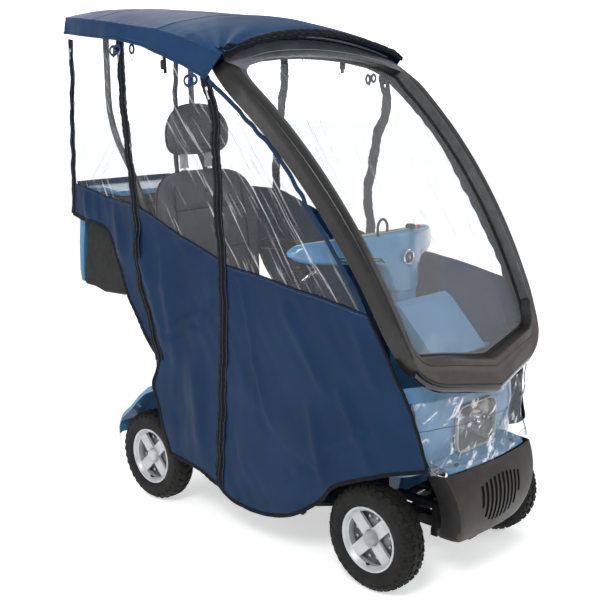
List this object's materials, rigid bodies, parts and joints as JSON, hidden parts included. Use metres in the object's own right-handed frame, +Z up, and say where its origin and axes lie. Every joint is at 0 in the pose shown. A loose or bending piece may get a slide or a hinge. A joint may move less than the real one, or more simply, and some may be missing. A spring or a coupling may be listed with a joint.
{
  "type": "mobility scooter",
  "caption": "Enclosed mobility scooter with a framed windscreen, fabric canopy and curtains, tilting tiller, swivelling seat and rear luggage box.",
  "frame": {"origin": "on the ground, centred under the scooter's bounding box", "axes": "+Z up, -Y the way the scooter drives, -X the driver's right"},
  "size_m": [0.8738, 1.8878, 1.8073],
  "materials": {
    "black_steel": "satin black powder coat",
    "bare_steel": "bare machined steel",
    "grey_tube": "grey powder coat",
    "black_plastic": "textured black moulding",
    "frame_paint": "satin grey-brown paint on a moulding",
    "body_blue": "gloss light blue moulding",
    "navy_fabric": "coated woven fabric with clear vinyl windows",
    "clear_glass": "clear bowed pane",
    "clear_film": "clear vinyl film",
    "lamp_reflector": "bright metallised reflector",
    "lamp_lens": "clear fluted lens",
    "red_lens": "red lens",
    "rubber": "black rubber",
    "silver_alloy": "silver lacquered alloy",
    "grey_leather": "grey grained upholstery",
    "soft_black": "soft black moulding",
    "red_plastic": "red moulding"
  },
  "bodies": {
    "chassis": {"chassis_frame": "black_steel", "floor_pan": "black_plastic", "rear_body_cover": "body_blue", "battery_right": "black_plastic", "battery_left": "black_plastic", "transaxle": "bare_steel", "front_axle_beam": "black_steel", "tail_light_right": "red_lens", "tail_light_left": "red_lens", "canopy_post_right": "grey_tube", "canopy_post_left": "grey_tube", "roof_hoop": "grey_tube", "roof_canopy": "navy_fabric", "side_curtain_right": "navy_fabric", "side_curtain_left": "navy_fabric", "rear_curtain": "navy_fabric", "front_film": "clear_film", "front_shroud": "body_blue", "headlight_housing": "lamp_reflector", "headlight_lens": "lamp_lens", "front_bumper": "black_plastic", "leg_shield": "body_blue", "windscreen_frame": "frame_paint", "windscreen_seal": "rubber", "windscreen_glass": "clear_glass", "seat_post": "black_steel", "rear_box_body": "black_plastic"},
    "box_lid": {"rear_box_lid": "body_blue"},
    "steering": {"steering_column": "black_steel"},
    "tiller": {"tiller_cowl": "body_blue", "handlebar": "black_steel", "grip_right": "soft_black", "grip_left": "soft_black"},
    "tilt_lever": {"tilt_lever": "black_steel"},
    "brake_lever": {"brake_lever": "silver_alloy"},
    "throttle_lever": {"throttle_lever": "soft_black"},
    "horn_button": {"horn_button": "red_plastic"},
    "speed_dial": {"speed_dial": "soft_black"},
    "ignition_lock": {"ignition_lock": "silver_alloy"},
    "knuckle_right": {"knuckle_right": "bare_steel"},
    "knuckle_left": {"knuckle_left": "bare_steel"},
    "tie_rod": {"tie_rod": "bare_steel"},
    "wheel_front_right": {"tyre_front_right": "rubber", "rim_front_right": "silver_alloy"},
    "wheel_front_left": {"tyre_front_left": "rubber", "rim_front_left": "silver_alloy"},
    "wheel_rear_right": {"tyre_rear_right": "rubber", "rim_rear_right": "silver_alloy"},
    "wheel_rear_left": {"tyre_rear_left": "rubber", "rim_rear_left": "silver_alloy"},
    "swivel_plate": {"swivel_plate": "black_steel"},
    "swivel_lever": {"swivel_lever": "soft_black"},
    "seat": {"seat_pan": "black_steel", "seat_cushion": "grey_leather"},
    "slide_lever": {"slide_lever": "soft_black"},
    "backrest": {"backrest": "grey_leather"},
    "headrest": {"headrest": "grey_leather"},
    "armrest_right": {"armrest_right": "soft_black"},
    "armrest_left": {"armrest_left": "soft_black"},
    "freewheel_lever": {"freewheel_lever": "red_plastic"}
  },
  "joints": [
    {"name": "wheel_front_right_spin", "type": "hinge", "parent": "knuckle_right", "child": "wheel_front_right", "pos_m": [-0.307, -0.6845, 0.1673], "axis": [1, 0, 0], "continuous": true},
    {"name": "wheel_front_left_spin", "type": "hinge", "parent": "knuckle_left", "child": "wheel_front_left", "pos_m": [0.307, -0.6845, 0.1673], "axis": [1, 0, 0], "continuous": true},
    {"name": "wheel_rear_right_spin", "type": "hinge", "parent": "chassis", "child": "wheel_rear_right", "pos_m": [-0.315, 0.372, 0.1673], "axis": [1, 0, 0], "continuous": true},
    {"name": "wheel_rear_left_spin", "type": "hinge", "parent": "chassis", "child": "wheel_rear_left", "pos_m": [0.315, 0.372, 0.1673], "axis": [1, 0, 0], "continuous": true},
    {"name": "steering_turn", "type": "hinge", "parent": "chassis", "child": "steering", "pos_m": [0, -0.67, 0.2165], "axis": [0, 0.3069, 0.9517], "range_deg": [-20, 20]},
    {"name": "knuckle_right_turn", "type": "hinge", "parent": "chassis", "child": "knuckle_right", "pos_m": [-0.232, -0.6845, 0.1673], "axis": [0, 0, 1], "range_deg": [-18, 18]},
    {"name": "knuckle_left_turn", "type": "hinge", "parent": "chassis", "child": "knuckle_left", "pos_m": [0.232, -0.6845, 0.1673], "axis": [0, 0, 1], "range_deg": [-18, 18]},
    {"name": "tie_rod_slide", "type": "slide", "parent": "chassis", "child": "tie_rod", "axis": [1, 0, 0], "range_m": [-0.0222, 0.0222]},
    {"name": "tiller_tilt", "type": "hinge", "parent": "steering", "child": "tiller", "pos_m": [0, -0.553, 0.6], "axis": [-1, 0, 0], "range_deg": [-5, 7]},
    {"name": "tilt_lever_pull", "type": "hinge", "parent": "steering", "child": "tilt_lever", "pos_m": [-0.0285, -0.553, 0.6], "axis": [-1, 0, 0], "range_deg": [0, 15], "stiffness_Nm_per_rad": 0.6, "springref_deg": -20.05},
    {"name": "brake_squeeze", "type": "hinge", "parent": "tiller", "child": "brake_lever", "pos_m": [-0.262, -0.395, 0.945], "axis": [0.5935, 0.8048, 0], "range_deg": [0, 5], "stiffness_Nm_per_rad": 2, "springref_deg": -8.59},
    {"name": "throttle_squeeze", "type": "hinge", "parent": "tiller", "child": "throttle_lever", "pos_m": [0.252, -0.405, 0.938], "axis": [-1, 0, 0], "range_deg": [0, 15], "stiffness_Nm_per_rad": 0.5, "springref_deg": -11.46},
    {"name": "horn_press", "type": "slide", "parent": "tiller", "child": "horn_button", "axis": [0, 0, -1], "range_m": [0, 0.002], "stiffness_N_per_m": 400, "springref_m": -0.002},
    {"name": "speed_dial_turn", "type": "hinge", "parent": "tiller", "child": "speed_dial", "pos_m": [0.06, -0.512, 1.058], "axis": [0, 0, 1], "range_deg": [-135, 135]},
    {"name": "key_turn", "type": "hinge", "parent": "tiller", "child": "ignition_lock", "pos_m": [0, -0.5518, 0.975], "axis": [0, -1, 0], "range_deg": [0, 90]},
    {"name": "seat_swivel", "type": "hinge", "parent": "chassis", "child": "swivel_plate", "pos_m": [0, 0.235, 0.58], "axis": [0, 0, 1], "range_deg": [-75, 75]},
    {"name": "swivel_lever_lift", "type": "hinge", "parent": "swivel_plate", "child": "swivel_lever", "pos_m": [-0.1165, 0.15, 0.578], "axis": [0, 1, 0], "range_deg": [0, 9], "stiffness_Nm_per_rad": 1, "springref_deg": -17.19},
    {"name": "seat_slide", "type": "slide", "parent": "swivel_plate", "child": "seat", "axis": [0, -1, 0], "range_m": [-0.04, 0.03]},
    {"name": "slide_lever_lift", "type": "hinge", "parent": "seat", "child": "slide_lever", "pos_m": [0.202, 0.085, 0.598], "axis": [0, -1, 0], "range_deg": [0, 10], "stiffness_Nm_per_rad": 1, "springref_deg": -17.19},
    {"name": "backrest_recline", "type": "hinge", "parent": "seat", "child": "backrest", "pos_m": [0, 0.372, 0.66], "axis": [-1, 0, 0], "range_deg": [-10, 5]},
    {"name": "headrest_lift", "type": "slide", "parent": "backrest", "child": "headrest", "axis": [0, 0.109, 0.994], "range_m": [0, 0.05]},
    {"name": "armrest_right_lift", "type": "hinge", "parent": "backrest", "child": "armrest_right", "pos_m": [-0.262, 0.392, 0.893], "axis": [-1, 0, 0], "range_deg": [0, 95]},
    {"name": "armrest_left_lift", "type": "hinge", "parent": "backrest", "child": "armrest_left", "pos_m": [0.262, 0.392, 0.893], "axis": [-1, 0, 0], "range_deg": [0, 95]},
    {"name": "freewheel_turn", "type": "hinge", "parent": "chassis", "child": "freewheel_lever", "pos_m": [0.0575, 0.45, 0.3], "axis": [-1, 0, 0], "range_deg": [-20, 30]},
    {"name": "box_lid_lift", "type": "hinge", "parent": "chassis", "child": "box_lid", "pos_m": [0, 0.64, 1.108], "axis": [1, 0, 0], "range_deg": [0, 4]}
  ],
  "couplings": [
    {"joint": "knuckle_right_turn", "follows": "steering_turn", "ratio": 0.87},
    {"joint": "knuckle_left_turn", "follows": "steering_turn", "ratio": 0.87},
    {"joint": "tie_rod_slide", "follows": "steering_turn", "m_per_rad": -0.0613}
  ]
}
